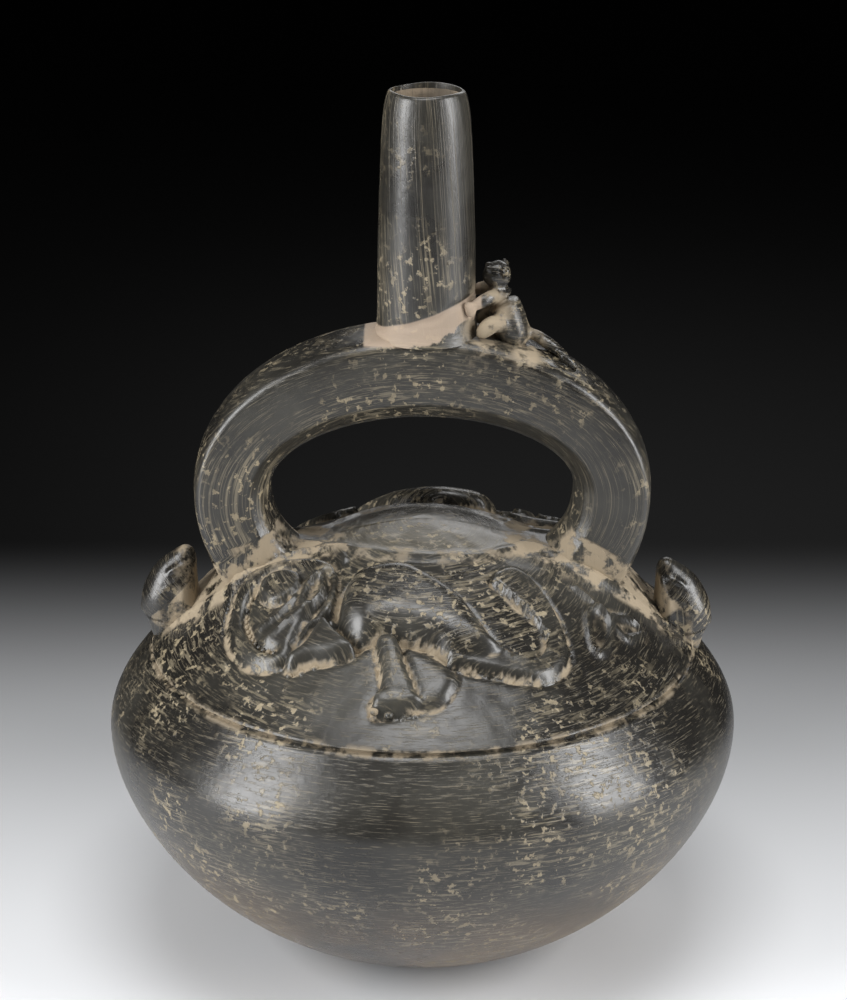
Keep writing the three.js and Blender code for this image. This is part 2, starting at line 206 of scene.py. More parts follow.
# Relief of the front in plan, x and y in millimetres. The rear is the same, turned half round.
relief = {
    "bodyHeight": 5.6,
    "body": [(-20.2, -35.5), (-19, -29), (-16.8, -24.8), (-12.7, -23.2), (-6.6, -23), (-2.3, -24.2),
             (3.3, -28),
             (9.2, -32.4), (13, -37.4), (16, -41.5), (19, -45), (15, -47.6), (7.2, -47.6), (3.2, -45.6),
             (-2.2, -43.9), (-9.8, -42.4), (-14.5, -42.6), (-18.6, -39.5)],
    "haunch": [(-4.6, -46.4), (-0.6, -46.4), (4.3, -48.6), (8, -51.6), (7.6, -55), (4.6, -58.4), (0.4, -59.6),
               (-1.8, -57)],
    "hindLeg": [(-10.9, -43.4), (-6.2, -43.6), (-4, -50), (-1.6, -57.8), (-8.8, -57.4), (-9.8, -50)],
    "hindFoot": [(-10.6, -56), (-5, -56), (-1.2, -57.2), (-0.6, -59.4), (-5, -60.4), (-10.8, -60.4),
                 (-12, -58.4)],
    "foreleg": [(-23.9, -33.8), (-20.2, -39), (-16, -44.6), (-21, -45.4), (-26.6, -44.4), (-31.6, -44.8),
                (-32.6, -41.8), (-28.6, -40), (-26, -36.4)],
    "tail": [(12, -43.6), (17.4, -42.8), (20.9, -44.6), (24.9, -45), (27.6, -43.5), (29.6, -39.8),
             (29.3, -36.8),
             (26.8, -32.6), (23.2, -29.8), (20.4, -27.4), (16.6, -24), (19.6, -20), (22.6, -18.4),
             (25.6, -19.6),
             (28.5, -22.6), (31.6, -27.6), (34.1, -33.6), (35, -38.8), (33.9, -43), (30.6, -47.2),
             (26.5, -49.2),
             (18.2, -49.8), (10, -49.4), (6, -48)],
    "head": [(-38.5, -12.6), (-43, -13.4), (-45.4, -16.3), (-47, -21), (-47.4, -26), (-46.4, -31.4),
             (-43.6, -37), (-39.6, -41), (-34, -42.6), (-29.4, -38.8), (-25.4, -34.6), (-21.8, -33),
             (-20.6, -27),
             (-21, -19), (-25, -14), (-31, -12)],
    "earLobe": [(-40.2, -21.4), (-39.3, -18.6), (-36.1, -17.4), (-32.2, -18), (-29.8, -20.3), (-30.6, -24.4),
                (-33.5, -26), (-37, -25.8)],
    "eye": [(-29.2, -28.8), (-28.9, -25.6), (-27.7, -22.6), (-25.7, -20.8), (-23.9, -21.6), (-23.3, -24.6),
            (-24, -27.6), (-25.8, -30), (-27.8, -30.6)],
    "mouth": [(-40.4, -19.8), (-42.1, -21.4), (-42.7, -26.8), (-41.2, -31.9), (-38.6, -36.6), (-35.4, -39)],
    "jaw": [(-22.6, -20), (-22.9, -26.4), (-25.6, -31.4), (-28.7, -34), (-30.6, -38.8)],
    "creases": [[(-20.6, -32.6), (-19.4, -38), (-15, -43.8)]],
    "ridges": [[(-29.8, -22.7), (-31.6, -27), (-34.6, -29.6), (-39.6, -31.6)],
               [(-28.8, -30.4), (-31.9, -31.9), (-35.2, -34.3), (-37.6, -35.6)],
               [(-37.7, -10.9), (-34, -9.2), (-30.4, -7.8), (-25.4, -7.7), (-20.8, -11.3), (-19, -15)],
               [(-44, -2), (-45.4, -6.4), (-46.6, -12), (-49, -20), (-49.6, -28), (-47.4, -35)],
               [(37.6, -18.4), (41, -20), (43.6, -21.2), (47, -22.2)],
               [(17.4, -42.8), (20.9, -44.6), (24.9, -45), (29.6, -39.8), (26.8, -32.6), (20.4, -27.4)]],
    "loops": [[(40.2, -25.2), (41.9, -22.4), (44.4, -22), (46.1, -25), (45.6, -30.4), (43.4, -34.2),
               (41.1, -33.8)],
              [(46.6, -23.2), (48.6, -20.8), (51.4, -19.4), (54, -20.6), (52.6, -23.6), (49.6, -25.8)]],
    "cap": [(-67, -6), (-60, -7), (-51.6, -11.6), (-46.4, -12), (-40, -8), (-33, -4), (-27, -5), (-22, -8),
            (-14.1, -13.6), (-5.5, -17), (4.3, -18), (14.1, -15.4), (21.7, -9), (27, -5), (34.7, -9.4),
            (43.8, -13), (51.9, -11), (60, -9), (67, -6)],
    "capWidth": 1.3,
    "capHalf": 18,
    "reach": 72,
    "rasterStep": 0.4,
}


# Height of a form whose flanks rise over the given width, with the ground cut back beside it
def raised(points, height, flank, x, y, cut=0.5):
    gap = toOutline(spline(points, closed=True), x, y)
    t = np.clip(gap / flank, 0, 1)
    return height * np.sqrt(1 - (1 - t) ** 2) - cut * bump(np.minimum(gap, 0), 0.9) * (gap < 0), gap


def ridge(points, height, width, x, y, closed=False):
    curve = spline(points, closed=closed)
    curve = np.vstack([curve, curve[:1]]) if closed else curve
    return height * bump(toStroke(curve, x, y), width)


def reliefHeight(x, y):
    roughness = noiseField(4, 3.2)(x, y) * 0.12 + noiseField(9, 9)(x, y) * 0.25
    height = roughness
    head, _ = raised(relief["head"], 2.4, 2.6, x, y)
    limbs = (("hindLeg", 3.6, 2.1, 0.8), ("hindFoot", 3.2, 1.6, 0.8), ("foreleg", 3.3, 2, 0.8),
             ("haunch", 2, 4, 0.3))
    legs = [raised(relief[name], high, flank, x, y, cut)[0] for name, high, flank, cut in limbs]
    tail, tailGap = raised(relief["tail"], 2.1, 1.2, x, y, 0.8)
    body, bodyGap = raised(relief["body"], relief["bodyHeight"], 5.5, x, y, 1.1)
    lifted = np.maximum.reduce([head, tail, body, *legs])
    carved = np.minimum.reduce([head, tail, body, *legs])
    height = height + np.where(lifted > 0, lifted, carved)
    lobe, _ = raised(relief["earLobe"], 1.3, 1.1, x, y, 0.9)
    eyeGap = toOutline(spline(relief["eye"], closed=True), x, y)
    eye = 1.4 * bump(eyeGap - 0.5, 0.75) - 0.9 * smoothStep(1.2, 2, eyeGap)
    eye = eye + 1.5 * smoothStep(2.2, 3.2, eyeGap)
    height = height + lobe + eye
    height = height - ridge(relief["mouth"], 1.9, 1.0, x, y) - ridge(relief["jaw"], 2.1, 1.1, x, y)
    for line in relief["creases"]:
        height = height - ridge(line, 1.4, 0.8, x, y)
    for line in relief["ridges"]:
        height = height + ridge(line, 0.9, 0.8, x, y)
    for line in relief["loops"]:
        height = height + ridge(line, 1.3, 0.75, x, y, closed=True)
    height = height + ridge(relief["cap"], 0.9, relief["capWidth"], x, y)
    smooth = 1 - smoothStep(-1, 1, np.maximum(bodyGap, tailGap)) * 0.6
    return height - roughness * (1 - smooth)


reach = relief["reach"]
acrossSteps = np.arange(-reach, reach + 0.1, relief["rasterStep"])
backSteps = np.arange(-reach, 4.1, relief["rasterStep"])
rasterX, rasterY = np.meshgrid(acrossSteps, backSteps, indexing="ij")
raster = reliefHeight(rasterX, rasterY) * smoothStep(3, -2, rasterY)


def blurred(field, width):
    cells = int(2 * width / relief["rasterStep"])
    kernel = bump(np.arange(-cells, cells + 1) * relief["rasterStep"], width)
    kernel /= kernel.sum()
    once = np.apply_along_axis(lambda row: np.convolve(row, kernel, "same"), 0, field)
    return np.apply_along_axis(lambda row: np.convolve(row, kernel, "same"), 1, once)


hollowRaster = blurred(raster, 1.8) - raster  # positive down in the carving


def sampled(field, x, y):
    u = np.clip((x + reach) / relief["rasterStep"], 0, field.shape[0] - 1.001)
    v = np.clip((y + reach) / relief["rasterStep"], 0, field.shape[1] - 1.001)
    i, j = u.astype(int), v.astype(int)
    fu, fv = u - i, v - j
    low = field[i, j] * (1 - fu) + field[i + 1, j] * fu
    high = field[i, j + 1] * (1 - fu) + field[i + 1, j + 1] * fu
    return low * (1 - fv) + high * fv


# The field belongs to the front half of the dome. The rear half reads it turned half round.
def bothSides(field, x, y):
    front = y <= 0
    return np.where(front, sampled(field, x, y), sampled(field, -x, -y))


print("relief drawn, height", raster.min().round(2), "to", raster.max().round(2))


def bowlProfile():
    base = [(radius, 0) for radius in (7, 14)]  # the flat underside
    belly, height = bowl["bellyRadius"], bowl["bellyHeight"]
    lower = bezier((bowl["baseRadius"], 0), (46, 0), (belly, 32.6), (belly, height), 34)
    upper = bezier((belly, height), (belly, 66), (73.5, 71.5), bowl["shoulderEnd"], 18)[1:]
    groove = [(68.7, 77.3), bowl["grooveFloor"], (68.2, 78.1), (68.9, 78.6), (68.7, 79)]
    return np.vstack([base, lower, upper, groove])


def wobbled(ring):
    angle = np.arctan2(ring[:, 1], ring[:, 0])
    z = ring[:, 2]
    wave = np.sin(2 * angle + 0.6) + 0.7 * np.sin(3 * angle + z / 19) + 0.5 * np.sin(7 * angle - z / 9)
    inward = bowl["handWobble"] * (0.5 + 0.22 * wave) / 80
    flat = 1 - np.clip(inward, 0, 1) * (z > 2)
    return ring * np.stack([flat, flat, np.ones(len(ring))], -1)


def bowlAndDome():
    angle = np.linspace(0, 2 * math.pi, bowl["around"], endpoint=False)
    circle = np.stack([np.cos(angle), np.sin(angle)], -1)
    rings = []
    for radius, z in bowlProfile():
        rings.append(wobbled(np.column_stack([circle * radius, np.full(len(angle), z)])))
    radii = np.concatenate([np.arange(bowl["domeEdge"][0], 20, -bowl["domeStep"]), np.linspace(20, 1.4, 13)])
    for radius in radii:
        x, y = (circle * radius).T
        edge = smoothStep(bowl["domeEdge"][0], bowl["domeEdge"][0] - 4, radius)
        z = plainDome(x, y) + bothSides(raster, x, y) * edge
        rings.append(np.column_stack([x, y, z]))
    return ringBody("vesselBody", rings, (0, 0, 0), (0, 0, float(plainDome(np.zeros(1), np.zeros(1))[0])))


vesselSolid = bowlAndDome()
print("bowl and dome:", len(vesselSolid.data.polygons), "faces")

arch = {
    "halfSpan": 48.5,
    "centreHeight": 119.5,
    "rise": 31,
    "drop": 40,
    "depth": 22,
    "footAngle": math.radians(133),
    "width": 14.5,
    "topSwell": 2.5,
    "footFlare": 3.5,
    "innerBulge": 3.7,
    "outerBulge": 1,
    "corner": 1.9,
    "steps": 130,
    "boreHalf": (5, 7),
    "boreShift": -1.2,
}


def archPath(footAngle, steps):
    angle = np.linspace(-footAngle, footAngle, steps)
    height = np.where(np.abs(angle) < math.pi / 2, arch["rise"], arch["drop"])
    x = arch["halfSpan"] * np.sin(angle)
    z = arch["centreHeight"] + height * np.cos(angle)
    swell = np.where(np.abs(angle) < math.pi / 2, arch["topSwell"] * np.cos(angle) ** 2, 0)
    flare = arch["footFlare"] * np.clip((np.abs(angle) - 1.8) / (arch["footAngle"] - 1.8), 0, 1.3) ** 2
    return np.stack([x, np.zeros(steps), z], -1), (arch["width"] + swell + flare) / 2


# Section of the handle: through its depth in millimetres, and outwards in half widths
def archSection():
    half, corner, unit = arch["depth"] / 2, arch["corner"], arch["width"] / 2
    turn = np.linspace(0, math.pi / 2, 5)
    reach = half - corner
    outerFace, innerFace = np.linspace(-reach, reach, 13), np.linspace(reach, -reach, 17)
    outer = [(v, 1 + arch["outerBulge"] / unit * (1 - (v / half) ** 2)) for v in outerFace]
    inner = [(v, -1 - arch["innerBulge"] / unit * (1 - (v / half) ** 2)) for v in innerFace]
    topRight = [(reach + corner * math.sin(a), 1 - (1 - math.cos(a)) * corner / unit) for a in turn[1:]]
    lowRight = [(reach + corner * math.cos(a), -1 + (1 - math.sin(a)) * corner / unit) for a in turn[:-1]]
    lowLeft = [(-v, u) for v, u in reversed(lowRight)]
    topLeft = [(-v, u) for v, u in reversed(topRight)]
    return outer + topRight + lowRight + inner + lowLeft + topLeft


def boreSection():
    across, depth = arch["boreHalf"]
    turns = np.linspace(0, 2 * math.pi, 24, endpoint=False)
    return [(depth * math.sin(a), math.cos(a) + arch["boreShift"] / across) for a in turns]


def nodeTree(name, inputs):
    tree = bpy.data.node_groups.new(name, "GeometryNodeTree")
    tree.interface.new_socket("Geometry", in_out="INPUT", socket_type="NodeSocketGeometry")
    for label, kind in inputs:
        tree.interface.new_socket(label, in_out="INPUT", socket_type=kind)
    tree.interface.new_socket("Geometry", in_out="OUTPUT", socket_type="NodeSocketGeometry")
    tree.nodes.new("NodeGroupInput").name = "Start"
    tree.nodes.new("NodeGroupOutput").name = "End"
    return tree


def addNode(tree, kind, **settings):
    made = tree.nodes.new(kind)
    for key, value in settings.items():
        setattr(made, key, value)
    return made


# A section drawn along a path. The path's faceWidth sets its width, and its depth stays even.
def archTree():
    tree = nodeTree("sectionAlongPath", [("Section", "NodeSocketObject"), ("Material", "NodeSocketMaterial")])
    start, end, link = tree.nodes["Start"], tree.nodes["End"], tree.links.new
    width = addNode(tree, "GeometryNodeInputNamedAttribute", data_type="FLOAT")
    width.inputs["Name"].default_value = "faceWidth"
    path = addNode(tree, "GeometryNodeMeshToCurve")
    info = addNode(tree, "GeometryNodeObjectInfo")
    outline = addNode(tree, "GeometryNodeMeshToCurve")
    swept = addNode(tree, "GeometryNodeCurveToMesh")
    swept.inputs["Fill Caps"].default_value = True
    position = addNode(tree, "GeometryNodeInputPosition")
    apart = addNode(tree, "ShaderNodeSeparateXYZ")
    even = addNode(tree, "ShaderNodeMath", operation="DIVIDE")
    together = addNode(tree, "ShaderNodeCombineXYZ")
    placed = addNode(tree, "GeometryNodeSetPosition")
    real = addNode(tree, "GeometryNodeRealizeInstances")
    finished = addNode(tree, "GeometryNodeSetMaterial")
    link(start.outputs["Geometry"], path.inputs["Mesh"])
    link(width.outputs["Attribute"], swept.inputs["Scale"])
    link(start.outputs["Section"], info.inputs["Object"])
    link(info.outputs["Geometry"], outline.inputs["Mesh"])
    link(path.outputs["Curve"], swept.inputs["Curve"])
    link(outline.outputs["Curve"], swept.inputs["Profile Curve"])
    link(position.outputs["Position"], apart.inputs["Vector"])
    link(apart.outputs["Y"], even.inputs[0])
    link(width.outputs["Attribute"], even.inputs[1])
    link(apart.outputs["X"], together.inputs["X"])
    link(even.outputs["Value"], together.inputs["Y"])
    link(apart.outputs["Z"], together.inputs["Z"])
    link(swept.outputs["Mesh"], placed.inputs["Geometry"])
    link(together.outputs["Vector"], placed.inputs["Position"])
    link(placed.outputs["Geometry"], real.inputs["Geometry"])
    link(real.outputs["Geometry"], finished.inputs["Geometry"])
    link(start.outputs["Material"], finished.inputs["Material"])
    link(finished.outputs["Geometry"], end.inputs["Geometry"])
    return tree


# Small beads set along a drawn line, such as teeth or toes
def beadTree():
    inputs = [("Count", "NodeSocketInt"), ("Radius", "NodeSocketFloat"), ("Stretch", "NodeSocketVector"),
              ("Material", "NodeSocketMaterial")]
    tree = nodeTree("beadsAlongLine", inputs)
    start, end, link = tree.nodes["Start"], tree.nodes["End"], tree.links.new
    path = addNode(tree, "GeometryNodeMeshToCurve")
    spaced = addNode(tree, "GeometryNodeResampleCurve", mode="COUNT")
    bead = addNode(tree, "GeometryNodeMeshIcoSphere")
    bead.inputs["Subdivisions"].default_value = 2
    placed = addNode(tree, "GeometryNodeInstanceOnPoints")
    real = addNode(tree, "GeometryNodeRealizeInstances")
    finished = addNode(tree, "GeometryNodeSetMaterial")
    link(start.outputs["Geometry"], path.inputs["Mesh"])
    link(path.outputs["Curve"], spaced.inputs["Curve"])
    link(start.outputs["Count"], spaced.inputs["Count"])
    link(start.outputs["Radius"], bead.inputs["Radius"])
    link(spaced.outputs["Curve"], placed.inputs["Points"])
    link(bead.outputs["Mesh"], placed.inputs["Instance"])
    link(start.outputs["Stretch"], placed.inputs["Scale"])
    link(placed.outputs["Instances"], real.inputs["Geometry"])
    link(real.outputs["Geometry"], finished.inputs["Geometry"])
    link(start.outputs["Material"], finished.inputs["Material"])
    link(finished.outputs["Geometry"], end.inputs["Geometry"])
    return tree


def lineObject(name, points, closed=False):
    edges = [(k, k + 1) for k in range(len(points) - 1)]
    if closed:
        edges.append((len(points) - 1, 0))
    return meshObject(name, points, [], edges)


def grown(made, tree, values):
    step = made.modifiers.new(tree.name, "NODES")
    step.node_group = tree
    for item in tree.interface.items_tree:
        if item.in_out == "INPUT" and item.name in values:
            step[item.identifier] = values[item.name]
    return applyModifiers(made)


blackware = bpy.data.materials.new("blackware")
innerClay = bpy.data.materials.new("innerClay")
sectionTree = archTree()
beadsTree = beadTree()


def sweptAlongArch(name, footAngle, section, halfWidth):
    points, width = archPath(footAngle, arch["steps"])
    width = width if halfWidth is None else np.full(len(points), float(halfWidth))
    path = lineObject(name, points)
    path.data.attributes.new("faceWidth", "FLOAT", "POINT").data.foreach_set("value", width * mm)
    outline = lineObject(name + "Section", [(v, u / mm, 0) for v, u in section], closed=True)
    grown(path, sectionTree, {"Section": outline, "Material": blackware})
    bpy.data.objects.remove(outline)
    return path


handle = sweptAlongArch("handle", arch["footAngle"], archSection(), None)
corners = np.array([v.co for v in handle.data.vertices]) / mm
print("handle from", corners.min(0).round(1), "to", corners.max(0).round(1))
combine(vesselSolid, handle, "UNION")

spout = {
    "x": 1,
    "foot": 152,
    "top": 218.3,
    "radius": 12.2,
    "neckRadius": 10.8,
    "lipRadius": 9.2,
    "boreRadius": 7.8,
    "breakHeight": 165,
    "breakSlope": 0.36,
    "breakDepth": 0.035,
    "around": 96,
}


# The glued break runs round as a slanting step, and its edge is a little ragged
def brokenAndGlued(ring):
    angle = np.arctan2(ring[:, 1], ring[:, 0])
    ragged = 0.5 * np.sin(5 * angle) + 0.35 * np.sin(11 * angle + 1)
    distance = np.abs(ring[:, 2] - spout["breakHeight"] - spout["breakSlope"] * ring[:, 0] - ragged)
    squeeze = 1 - spout["breakDepth"] * np.clip(1 - distance / 1.2, 0, 1)
    lip = smoothStep(spout["top"] - 1.5, spout["top"], ring[:, 2])
    drop = lip * 0.35 * (0.5 + 0.5 * np.sin(3 * angle + 0.7))
    return np.column_stack([ring[:, 0] * squeeze, ring[:, 1] * squeeze, ring[:, 2] - drop])


def spoutOutside():
    inner = arch["depth"] / 2 - 0.5
    radius, neck, top = spout["radius"], spout["neckRadius"], spout["top"]
    foot = [(0, spout["foot"]), (inner, spout["foot"]), (inner, 156.8)]
    flare = bezier((radius + 0.9, 158.2), (radius + 0.3, 159.4), (radius, 160.4), (radius, 162), 6)
    straight = [(radius - 0.15 - 0.01 * k, 162 + 0.6 * k) for k in range(1, 20)]
    taper = bezier((11.8, 180), (11.5, 190), (11.2, 200), (neck, 207), 10)
    shoulder = bezier((10.6, 210), (10.4, 213.5), (9.9, 216), (spout["lipRadius"], top - 0.3), 10)
    return [*foot, *flare, *straight, *taper, *shoulder, (spout["lipRadius"] - 0.4, top), (0, top)]


def spoutBore():
    mouth, bore, top = 8.6, spout["boreRadius"], spout["top"]
    return [(0, spout["foot"] - 4), (bore, spout["foot"] - 4), (bore, 208), (mouth - 0.3, top - 1.4),
            (mouth, top + 2), (0, top + 2)]


combine(vesselSolid, lathe("spout", spoutOutside(), spout["around"], brokenAndGlued, spout["x"]), "UNION")


# A ball drawn out along a line, with its half width level and its half height upright
def drawnOut(points, halfWidths, halfHeights, around=14, along=4):
    curve = spline(points, along)
    share = np.linspace(0, 1, len(curve))
    marks = np.linspace(0, 1, len(halfWidths))
    widths, heights = np.interp(share, marks, halfWidths), np.interp(share, marks, halfHeights)
    rounding = np.sqrt(1 - np.abs(2 * share - 1) ** 2.6)
    turns = np.linspace(0, 2 * math.pi, around, endpoint=False)
    rings = []
    for k in range(1, len(curve) - 1):
        forward = curve[k + 1] - curve[k - 1]
        forward /= np.linalg.norm(forward)
        upright = np.array([0, 0, 1.0]) if abs(forward[2]) < 0.9 else np.array([-1.0, 0, 0])
        side = np.cross(forward, upright)
        side /= np.linalg.norm(side)
        over = np.cross(side, forward)
        ring = np.outer(np.cos(turns) * widths[k] * rounding[k], side)
        ring += np.outer(np.sin(turns) * heights[k] * rounding[k], over)
        rings.append(curve[k] + ring)
    return ringBody("form", rings, curve[0], curve[-1])


# Melts overlapping forms into one skin, softened like thumbed clay
def melted(name, forms, voxel, soften):
    rows, faces, count = [], [], 0
    for form in forms:
        rows.append(np.array([v.co for v in form.data.vertices]) / mm)
        faces += [tuple(count + k for k in face.vertices) for face in form.data.polygons]
        count += len(rows[-1])
        bpy.data.objects.remove(form)
    made = meshObject(name, np.vstack(rows), faces)
    skin = made.modifiers.new("skin", "REMESH")
    skin.mode = "VOXEL"
    skin.voxel_size = voxel * mm
    smooth = made.modifiers.new("soften", "SMOOTH")
    smooth.factor = 0.5
    smooth.iterations = soften
    return applyModifiers(made)


shoulderHeads = {
    "halfDepth": 7,
    "middle": (62.5, 89),
    "outline": [(54, 84), (56.4, 90), (56.9, 96), (57.2, 101), (59.4, 103), (62.6, 101.4), (66.4, 98.6),
                (69, 95),
                (70.8, 90.8), (70.9, 86.8), (69.4, 82.8), (67.2, 77.6), (60, 77)],
    "voxel": 0.5,
    "places": [(-1, 0, 0), (1, 2, 3.4)],
}


def shoulderHead(side, reach, drop):
    middle = np.array(shoulderHeads["middle"])
    outline = spline(shoulderHeads["outline"], 4, closed=True)
    rings = []
    for share in np.linspace(-1, 1, 17):
        y = share * shoulderHeads["halfDepth"]
        rounded = middle + (outline - middle) * math.sqrt(max(1 - 0.8 * abs(share) ** 2.6, 0.02))
        narrow = 1 - 0.45 * smoothStep(90, 104, rounded[:, 1])
        rings.append(np.column_stack([side * (rounded[:, 0] + reach), y * narrow, rounded[:, 1] - drop]))

    def lump(points, width, height):
        placed = [(side * (x + reach), y, z - drop) for x, y, z in points]
        return drawnOut(placed, [width, width], [height, height], 10)

    ends = [(side * (middle[0] + reach), ring[:, 1].mean(), middle[1] - drop) for ring in (rings[0],
                                                                                           rings[-1])]
    forms = [ringBody("skull", rings, *ends)]
    for face in (-1, 1):
        back, front = (60.8, face * 5.4, 90.8), (67.4, face * 4.8, 89.4)
        upper = [back, (63.2, face * 5.9, 93.4), (65.6, face * 5.6, 92.4), front]
        lower = [back, (62.6, face * 6.2, 88.8), (65.4, face * 5.9, 87.8), front]
        forms += [lump(upper, 0.7, 0.7), lump(lower, 0.7, 0.7)]
        forms.append(lump([(63, face * 5.9, 90.4), (64.2, face * 6, 90.5), (65.2, face * 5.8, 90.4)], 1, 1))
        forms.append(lump([(58.8, face * 3, 98.6), (61.6, face * 3.8, 98), (64.6, face * 4.2, 96)], 1.3, 1.2))
        forms.append(lump([(69.6, face * 2.2, 88.2), (70.6, face * 1.6, 87), (70, face * 2.4, 85.6)], 0.9,
                          0.9))
    made = melted("shoulderHead", forms, shoulderHeads["voxel"], 2)
    combine(made, lump([(60, 0, 84.4), (66, 0, 84.9), (74, 0, 85.4)], 9, 0.7), "DIFFERENCE")
    return made


for place in shoulderHeads["places"]:
    combine(vesselSolid, shoulderHead(*place), "UNION")


# Each limb: its line, its half widths and its half heights. The second list is mirrored to both sides.
monkeyForms = [
    ([(17, 0, 169.4), (18.2, 0, 173), (18.4, 0, 176.9)], [2.6, 3.3, 2.8], [2.8, 3.4, 2.8]),
    ([(14.4, 0, 173), (16, 0, 173), (19, 0, 173.4)], [1.8, 2.2, 2], [1.8, 2.2, 2]),
    ([(16.4, 0, 171.4), (19.6, 0, 166), (21.8, 0, 158.6), (21.5, 0, 153)], [2.8, 5, 5.6, 4.4],
     [2.8, 4.2, 4.6, 3.6]),
    ([(21, 0, 163.6), (23.4, 0, 161.8), (25.8, 0, 157.6)], [2.6, 2.6], [1.8, 1.8]),
    ([(25, 0, 159.4), (29, 0, 157), (33.4, 0, 153.6), (36.8, -1.6, 150.6)], [2, 1.7, 1.3], [1.6, 1.6, 1.3]),
    ([(33, -1, 154.2), (34.2, -3.8, 153.4), (37, -3.6, 151.2), (37.4, -1, 150.6)], [0.9, 0.9], [1.1, 1.1]),
]
monkeyLimbs = [
    ([(18.4, 2.4, 169.6), (15.4, 5.4, 168.4), (11.6, 7.4, 167)], [1.6, 1.6], [1.7, 1.7]),
    ([(10.4, 8.2, 168.6), (11.4, 7.6, 166.4), (11.9, 7, 164.4)], [1.4, 1.4], [1.3, 1.3]),
    ([(21.4, 2.6, 160.6), (17, 6, 162.4), (13, 6.4, 159)], [2.1, 2.1], [2.2, 2.2]),
    ([(19.6, 2.7, 175.4), (20, 3.7, 175), (20.2, 2.9, 173.6)], [1.1, 1.1], [1.1, 1.1]),
    ([(15, 1.5, 174.6), (15.9, 2, 175.2), (17, 1.9, 175.4)], [0.7, 0.7], [0.7, 0.7]),
]


def monkey():
    forms = [drawnOut(*form) for form in monkeyForms]
    for points, widths, heights in monkeyLimbs:
        for face in (-1, 1):
            forms.append(drawnOut([(x, face * y, z) for x, y, z in points], widths, heights))
    voxel, softening = 0.55, 2
    return melted("monkey", forms, voxel, softening)


combine(vesselSolid, monkey(), "UNION")


def onDome(points, lift):
    plan = spline(points)
    z = plainDome(plan[:, 0], plan[:, 1]) + bothSides(raster, plan[:, 0], plan[:, 1]) + lift
    return np.column_stack([plan, z])


beadRows = [  # line in plan, lift, count, radius, stretch
    (relief["mouth"], 0.3, 15, 0.62, (1, 1, 1.3)),
    ([(-11.2, -60), (-6.5, -60.6), (-1.6, -60)], -0.3, 4, 1.15, (1, 1.3, 0.9)),
    ([(-31.6, -45), (-28.6, -45.2), (-25.4, -45)], -0.2, 3, 0.95, (1, 1.2, 0.9)),
]
for points, lift, count, radius, stretch in beadRows:
    for turned in (1, -1):
        line = onDome(points, lift) * (turned, turned, 1)
        beads = lineObject("beads", line)
        sizes = {"Count": count, "Radius": radius * mm, "Stretch": stretch, "Material": blackware}
        grown(beads, beadsTree, sizes)
        combine(vesselSolid, beads, "UNION")


def chamber():
    lower = bezier((18, 6), (43, 6), (75, 34), (75, 57.5), 20)
    upper = bezier((75, 57.5), (75, 64), (69, 68), (63.5, 75), 8)[1:]
    roof = bezier((63.5, 75), (46, 86), (23, 105), (0, 105), 20)[1:-1]
    return [(0, 6), *lower, *upper, *roof, (0, 105)]


hollow = lathe("hollow", chamber(), 96)
boreReach = arch["footAngle"] + 0.13  # the bore runs on into the chamber
handleBore = sweptAlongArch("handleBore", boreReach, boreSection(), arch["boreHalf"][0])
combine(hollow, handleBore, "UNION")
combine(hollow, lathe("spoutBore", spoutBore(), 64, centreX=spout["x"]), "UNION")
hollowPoints = np.array([v.co for v in hollow.data.vertices]) / mm
combine(vesselSolid, hollow, "DIFFERENCE")
vesselSolid.name = "vesselLook"
print("vessel joined and hollowed:", len(vesselSolid.data.polygons), "faces")


# What the materials read, worked out from where each point of the skin lies
def skinAttributes(made):
    mesh = made.data
    points = np.empty(3 * len(mesh.vertices))
    mesh.vertices.foreach_get("co", points)
    x, y, z = points.reshape(-1, 3).T / mm
    radius = np.hypot(x, y)
    onDomeSkin = (radius < 68.5) & (z > 77) & (np.abs(z - plainDome(x, y)) < 7)
    onBowl = (z < 79) & (radius > 15)
    elliptic = np.hypot(x / arch["halfSpan"], (z - arch["centreHeight"]) / arch["rise"]) * arch["halfSpan"]
    onSpout = (np.hypot(x - spout["x"], y) < 14) & (z > 161)
    across = np.where(onBowl, z, np.where(onDomeSkin, radius, elliptic))
    across = np.where(onSpout, np.arctan2(y, x - spout["x"]) * spout["radius"], across)
    hollows = np.where(onDomeSkin, np.clip(bothSides(hollowRaster, x, y) / 0.9, -1, 1), 0)
    footX, footReach = 38, 11  # where the handle stands on the dome
    legs = bump(np.hypot((np.abs(x) - footX) / 1.3, y / 1.1) - footReach, 4) * onDomeSkin
    behindHeads = bump(np.abs(x) - 57, 5) * bump(y, 13) * (z > 84) * (z < 104)
    capEdge = toStroke(np.array(relief["cap"]), x, -np.abs(y))
    ridgeDust = bump(capEdge, 3) * onDomeSkin
    seam = bump(z - 78, 1.4) * (radius > 64)
    monkeyDust = bump(np.hypot(x - 15.5, (z - 164) / 1.5), 6.5) * (z > 155)
    monkeyDust += bump(np.hypot(x - 26, z - 156), 4)
    deposit = 0.8 * np.clip(hollows, 0, 1) + 0.6 * legs + 0.8 * behindHeads + 0.4 * ridgeDust + 0.6 * seam
    deposit = np.clip(deposit + 0.75 * monkeyDust, 0, 1)
    worn = np.clip(-hollows, 0, 1)
    cap = onDomeSkin * smoothStep(0, 4, relief["capHalf"] - np.hypot(x / 1.5, y))
    for name, values in (("across", across), ("deposit", deposit), ("worn", worn), ("cap", cap),
                         ("domeShare", onDomeSkin.astype(float))):
        mesh.attributes.new(name, "FLOAT", "POINT").data.foreach_set("value", values.astype(np.float32))


skinAttributes(vesselSolid)

